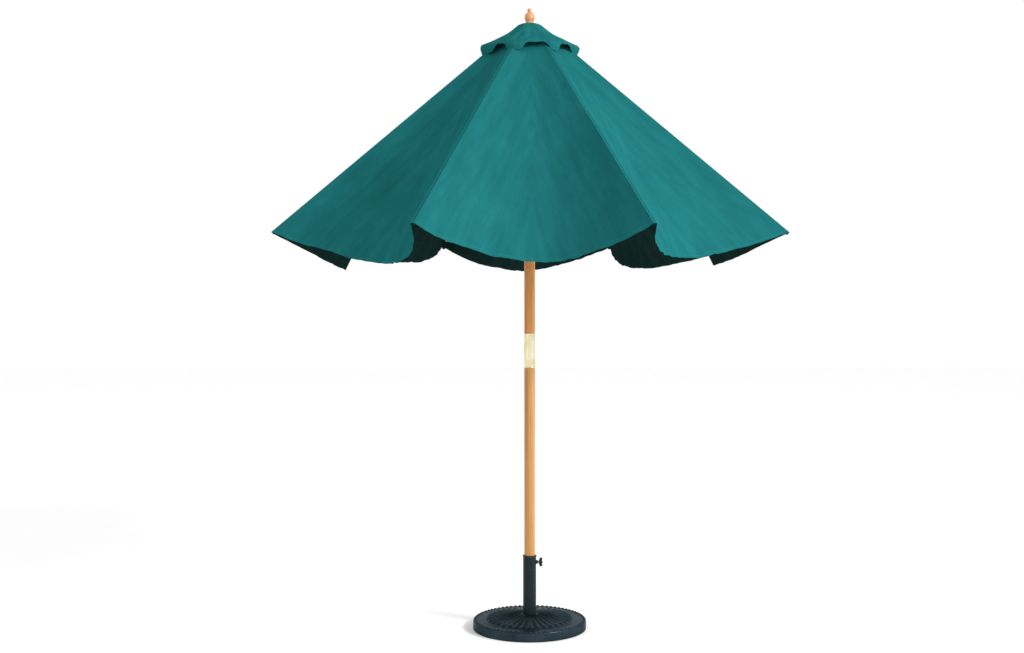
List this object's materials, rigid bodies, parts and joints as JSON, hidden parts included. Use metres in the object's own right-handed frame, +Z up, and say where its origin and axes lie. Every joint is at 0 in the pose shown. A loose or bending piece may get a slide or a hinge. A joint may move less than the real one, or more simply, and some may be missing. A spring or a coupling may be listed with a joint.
{
  "type": "patio umbrella with base",
  "caption": "Wooden market umbrella with a slack panelled canopy, vent cap and turned finial, on a two-piece pole in a round hollow cast base with a clamp knob.",
  "frame": {"origin": "centre of the base disc's underside, on the ground, under the pole's axis", "axes": "+Z up the pole; +X towards the clamp knob; the ribs stand midway between the axes and their diagonals"},
  "size_m": [1.9108, 1.9108, 2.467],
  "materials": {
    "cast_base": "painted, satin",
    "enamel": "satin",
    "zinc": "plated",
    "black_plastic": "satin",
    "pole_wood": "clear satin varnish",
    "frame_wood": "clear satin varnish",
    "brass": "polished",
    "canopy_fabric": "woven polyester"
  },
  "bodies": {
    "base": {"base_disc": "cast_base", "base_tube": "enamel", "tube_plug": "zinc", "base_bolt": "zinc", "base_washer": "zinc", "pole_sleeve": "black_plastic", "screw_nut": "enamel"},
    "clamp_shaft": {"clamp_screw": "zinc"},
    "clamp_wing": {"clamp_knob": "black_plastic"},
    "lower_pole": {"lower_pole": "pole_wood", "pole_foot": "black_plastic", "ferrule": "brass", "ferrule_screws": "brass"},
    "upper_pole": {"upper_pole": "pole_wood", "crown": "frame_wood", "crown_pins": "brass", "crown_screw": "brass", "finial_stud": "zinc", "top_washer": "brass", "finial": "frame_wood", "vent_cap": "canopy_fabric"},
    "runner": {"runner": "frame_wood", "screw_eye": "brass"},
    "lock_pin": {"lock_pin": "brass"},
    "rib_1": {"rib_1": "frame_wood", "rib_bracket_1": "brass", "canopy_gore_1": "canopy_fabric"},
    "rib_2": {"rib_2": "frame_wood", "rib_bracket_2": "brass", "canopy_gore_2": "canopy_fabric"},
    "rib_3": {"rib_3": "frame_wood", "rib_bracket_3": "brass", "canopy_gore_3": "canopy_fabric"},
    "rib_4": {"rib_4": "frame_wood", "rib_bracket_4": "brass", "canopy_gore_4": "canopy_fabric"},
    "rib_5": {"rib_5": "frame_wood", "rib_bracket_5": "brass", "canopy_gore_5": "canopy_fabric"},
    "rib_6": {"rib_6": "frame_wood", "rib_bracket_6": "brass", "canopy_gore_6": "canopy_fabric"},
    "rib_7": {"rib_7": "frame_wood", "rib_bracket_7": "brass", "canopy_gore_7": "canopy_fabric"},
    "rib_8": {"rib_8": "frame_wood", "rib_bracket_8": "brass", "canopy_gore_8": "canopy_fabric"},
    "strut_1": {"strut_1": "frame_wood"},
    "strut_2": {"strut_2": "frame_wood"},
    "strut_3": {"strut_3": "frame_wood"},
    "strut_4": {"strut_4": "frame_wood"},
    "strut_5": {"strut_5": "frame_wood"},
    "strut_6": {"strut_6": "frame_wood"},
    "strut_7": {"strut_7": "frame_wood"},
    "strut_8": {"strut_8": "frame_wood"}
  },
  "joints": [
    {"name": "pole_lift", "type": "slide", "parent": "base", "child": "lower_pole", "axis": [0, 0, 1], "range_m": [0, 0.26]},
    {"name": "upper_pole_unplug", "type": "slide", "parent": "lower_pole", "child": "upper_pole", "axis": [0, 0, 1], "range_m": [0, 0.08]},
    {"name": "clamp_travel", "type": "slide", "parent": "base", "child": "clamp_shaft", "axis": [1, 0, 0], "range_m": [0, 0.0038]},
    {"name": "clamp_turn", "type": "hinge", "parent": "clamp_shaft", "child": "clamp_wing", "pos_m": [0.0365, 0, 0.262], "axis": [1, 0, 0], "range_deg": [0, 1080]},
    {"name": "rib_1_fold", "type": "hinge", "parent": "upper_pole", "child": "rib_1", "pos_m": [0.04158, 0.01722, 2.383], "axis": [-0.3827, 0.9239, 0], "range_deg": [0, 47.39], "deforming": ["canopy_gore_1"]},
    {"name": "rib_2_fold", "type": "hinge", "parent": "upper_pole", "child": "rib_2", "pos_m": [0.01722, 0.04158, 2.383], "axis": [-0.9239, 0.3827, 0], "range_deg": [0, 47.4], "deforming": ["canopy_gore_2"]},
    {"name": "rib_3_fold", "type": "hinge", "parent": "upper_pole", "child": "rib_3", "pos_m": [-0.01722, 0.04158, 2.383], "axis": [-0.9239, -0.3827, 0], "range_deg": [0, 47.4], "deforming": ["canopy_gore_3"]},
    {"name": "rib_4_fold", "type": "hinge", "parent": "upper_pole", "child": "rib_4", "pos_m": [-0.04158, 0.01722, 2.383], "axis": [-0.3827, -0.9239, 0], "range_deg": [0, 47.4], "deforming": ["canopy_gore_4"]},
    {"name": "rib_5_fold", "type": "hinge", "parent": "upper_pole", "child": "rib_5", "pos_m": [-0.04158, -0.01722, 2.383], "axis": [0.3827, -0.9239, 0], "range_deg": [0, 47.4], "deforming": ["canopy_gore_5"]},
    {"name": "rib_6_fold", "type": "hinge", "parent": "upper_pole", "child": "rib_6", "pos_m": [-0.01722, -0.04158, 2.383], "axis": [0.9239, -0.3827, 0], "range_deg": [0, 47.4], "deforming": ["canopy_gore_6"]},
    {"name": "rib_7_fold", "type": "hinge", "parent": "upper_pole", "child": "rib_7", "pos_m": [0.01722, -0.04158, 2.383], "axis": [0.9239, 0.3827, 0], "range_deg": [0, 47.4], "deforming": ["canopy_gore_7"]},
    {"name": "rib_8_fold", "type": "hinge", "parent": "upper_pole", "child": "rib_8", "pos_m": [0.04158, -0.01722, 2.383], "axis": [0.3827, 0.9239, 0], "range_deg": [0, 47.4], "deforming": ["canopy_gore_8"]},
    {"name": "strut_1_swing", "type": "hinge", "parent": "rib_1", "child": "strut_1", "pos_m": [0.42914, 0.17776, 1.9971], "axis": [-0.3827, 0.9239, 0], "range_deg": [-94.8, 0]},
    {"name": "strut_2_swing", "type": "hinge", "parent": "rib_2", "child": "strut_2", "pos_m": [0.17776, 0.42914, 1.9971], "axis": [-0.9239, 0.3827, 0], "range_deg": [-94.8, 0]},
    {"name": "strut_3_swing", "type": "hinge", "parent": "rib_3", "child": "strut_3", "pos_m": [-0.17776, 0.42914, 1.9971], "axis": [-0.9239, -0.3827, 0], "range_deg": [-94.8, 0]},
    {"name": "strut_4_swing", "type": "hinge", "parent": "rib_4", "child": "strut_4", "pos_m": [-0.42914, 0.17776, 1.9971], "axis": [-0.3827, -0.9239, 0], "range_deg": [-94.8, 0]},
    {"name": "strut_5_swing", "type": "hinge", "parent": "rib_5", "child": "strut_5", "pos_m": [-0.42914, -0.17776, 1.9971], "axis": [0.3827, -0.9239, 0], "range_deg": [-94.8, 0]},
    {"name": "strut_6_swing", "type": "hinge", "parent": "rib_6", "child": "strut_6", "pos_m": [-0.17776, -0.42914, 1.9971], "axis": [0.9239, -0.3827, 0], "range_deg": [-94.8, 0]},
    {"name": "strut_7_swing", "type": "hinge", "parent": "rib_7", "child": "strut_7", "pos_m": [0.17776, -0.42914, 1.9971], "axis": [0.9239, 0.3827, 0], "range_deg": [-94.8, 0]},
    {"name": "strut_8_swing", "type": "hinge", "parent": "rib_8", "child": "strut_8", "pos_m": [0.42914, -0.17776, 1.9971], "axis": [0.3827, 0.9239, 0], "range_deg": [-94.8, 0]},
    {"name": "runner_slide", "type": "slide", "parent": "upper_pole", "child": "runner", "axis": [0, 0, -1], "range_m": [0, 0.3683]},
    {"name": "lock_pin_swing", "type": "hinge", "parent": "runner", "child": "lock_pin", "pos_m": [0.0367, 0, 1.5624], "axis": [1, 0, 0], "range_deg": [-20, 20]}
  ],
  "couplings": [
    {"joint": "clamp_travel", "follows": "clamp_turn", "m_per_rad": 0.00019894},
    {"joint": "rib_2_fold", "follows": "rib_1_fold", "ratio": 1},
    {"joint": "rib_3_fold", "follows": "rib_1_fold", "ratio": 1},
    {"joint": "rib_4_fold", "follows": "rib_1_fold", "ratio": 1},
    {"joint": "rib_5_fold", "follows": "rib_1_fold", "ratio": 1},
    {"joint": "rib_6_fold", "follows": "rib_1_fold", "ratio": 1},
    {"joint": "rib_7_fold", "follows": "rib_1_fold", "ratio": 1},
    {"joint": "rib_8_fold", "follows": "rib_1_fold", "ratio": 1},
    {"joint": "strut_1_swing", "follows": "rib_1_fold", "ratio": -2},
    {"joint": "strut_2_swing", "follows": "rib_1_fold", "ratio": -2},
    {"joint": "strut_3_swing", "follows": "rib_1_fold", "ratio": -2},
    {"joint": "strut_4_swing", "follows": "rib_1_fold", "ratio": -2},
    {"joint": "strut_5_swing", "follows": "rib_1_fold", "ratio": -2},
    {"joint": "strut_6_swing", "follows": "rib_1_fold", "ratio": -2},
    {"joint": "strut_7_swing", "follows": "rib_1_fold", "ratio": -2},
    {"joint": "strut_8_swing", "follows": "rib_1_fold", "ratio": -2},
    {"joint": "runner_slide", "follows": "rib_1_fold", "m_per_rad": 0.44518}
  ]
}
